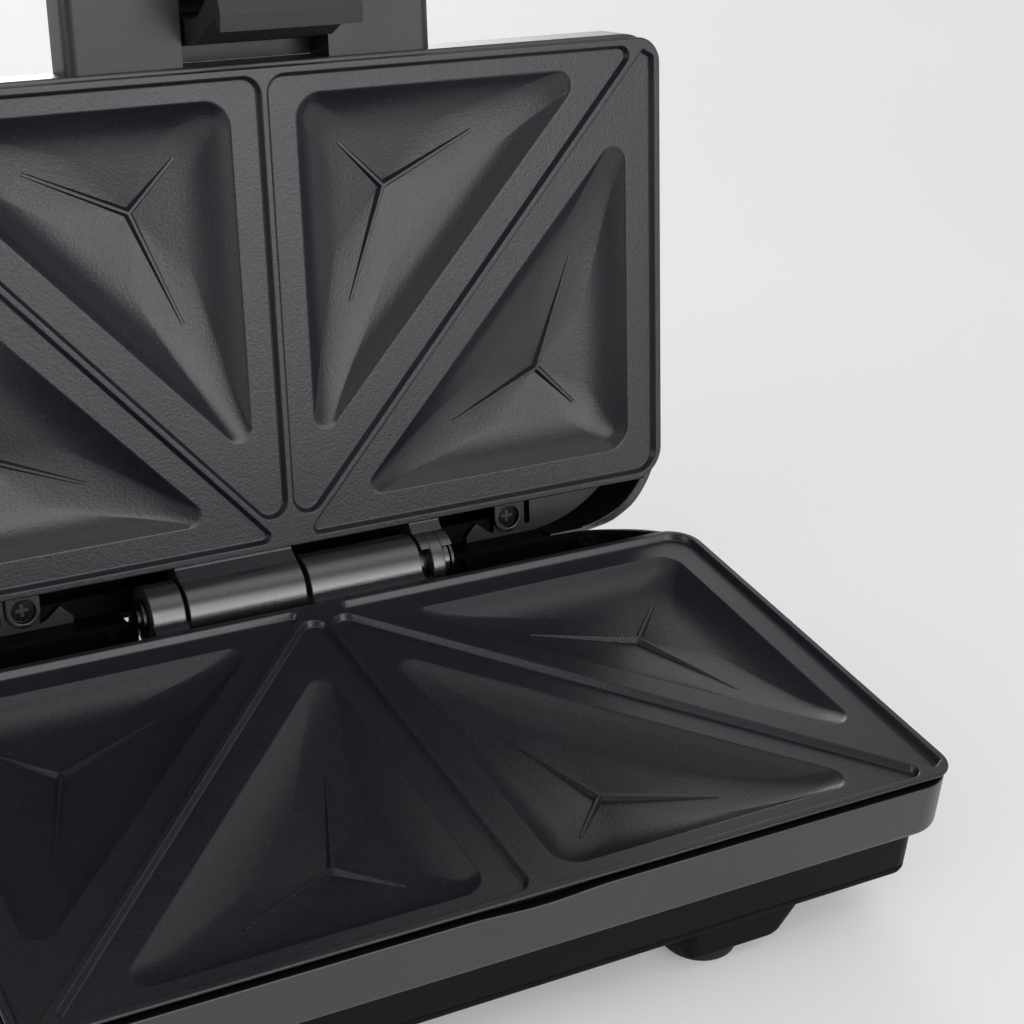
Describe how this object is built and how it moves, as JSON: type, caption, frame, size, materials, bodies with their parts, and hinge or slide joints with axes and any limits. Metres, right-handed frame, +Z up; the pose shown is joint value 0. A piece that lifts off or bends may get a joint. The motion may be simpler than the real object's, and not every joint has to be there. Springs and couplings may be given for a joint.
{
  "type": "sandwich toaster",
  "caption": "Countertop sandwich toaster with a hinged lid, cast plates with triangular toasting pockets, a latching handle and rubber feet",
  "frame": {"origin": "centre of the bounding box of the toaster with its lid standing open, on the surface that it rests on", "axes": "+X to the right along the hinge, +Y from the front to the hinge side, +Z up"},
  "size_m": [0.231, 0.1998, 0.204],
  "materials": {
    "base_casing": "satin dark grey moulded plastic",
    "bottom_casing": "matte black moulded plastic",
    "lid_casing": "satin dark grey moulded plastic",
    "lid_panel": "semi-gloss black moulded plastic",
    "handle": "fine-textured black plastic",
    "plate_coating": "cast plate with a dark, slightly sparkling non-stick coating",
    "feet": "matte black rubber",
    "sheet": "plain sheet metal",
    "element": "dull oxidised tube",
    "ceramic": "off-white ceramic",
    "screw": "plated screws",
    "pin": "dark oiled steel",
    "stat_body": "plain metal thermostat cup",
    "block": "ivory terminal block",
    "fuse": "sleeved cut-out",
    "wire": "insulated wire",
    "gland": "black moulded gland",
    "lens_red": "clear red lens",
    "lens_green": "clear green lens",
    "board": "printed circuit board"
  },
  "bodies": {
    "base": {"base_housing": "base_casing", "bottom_cover": "bottom_casing", "rubber_feet": "feet", "lower_plate": "plate_coating", "lower_shield": "sheet", "lower_heater": "element", "lower_terminals": "ceramic", "lower_plate_screws": "screw", "lower_shield_screws": "screw", "base_case_screws": "screw", "base_rear_screws": "screw", "thermostat": "stat_body", "thermal_fuse": "fuse", "terminal_block": "block", "cord_gland": "gland", "base_wiring": "wire", "hinge_pin": "pin", "hinge_clips": "pin"},
    "lid": {"lid_housing": "lid_casing", "lid_cover": "lid_panel", "lid_handle": "handle", "upper_plate": "plate_coating", "upper_shield": "sheet", "upper_heater": "element", "upper_terminals": "ceramic", "upper_plate_screws": "screw", "upper_shield_screws": "screw", "lid_case_screws": "screw", "handle_screws": "screw", "power_lens": "lens_red", "ready_lens": "lens_green", "indicator_board": "board", "lid_wiring": "wire", "latch_pin": "pin"},
    "latch": {"latch": "handle"}
  },
  "joints": [
    {"name": "lid_hinge", "type": "hinge", "parent": "base", "child": "lid", "pos_m": [0, 0.03647, 0.04293], "axis": [1, 0, 0], "range_deg": [0, 102.4]},
    {"name": "latch_hinge", "type": "hinge", "parent": "lid", "child": "latch", "pos_m": [0, 0.07879, 0.18196], "axis": [1, 0, 0], "range_deg": [0, 25]}
  ]
}
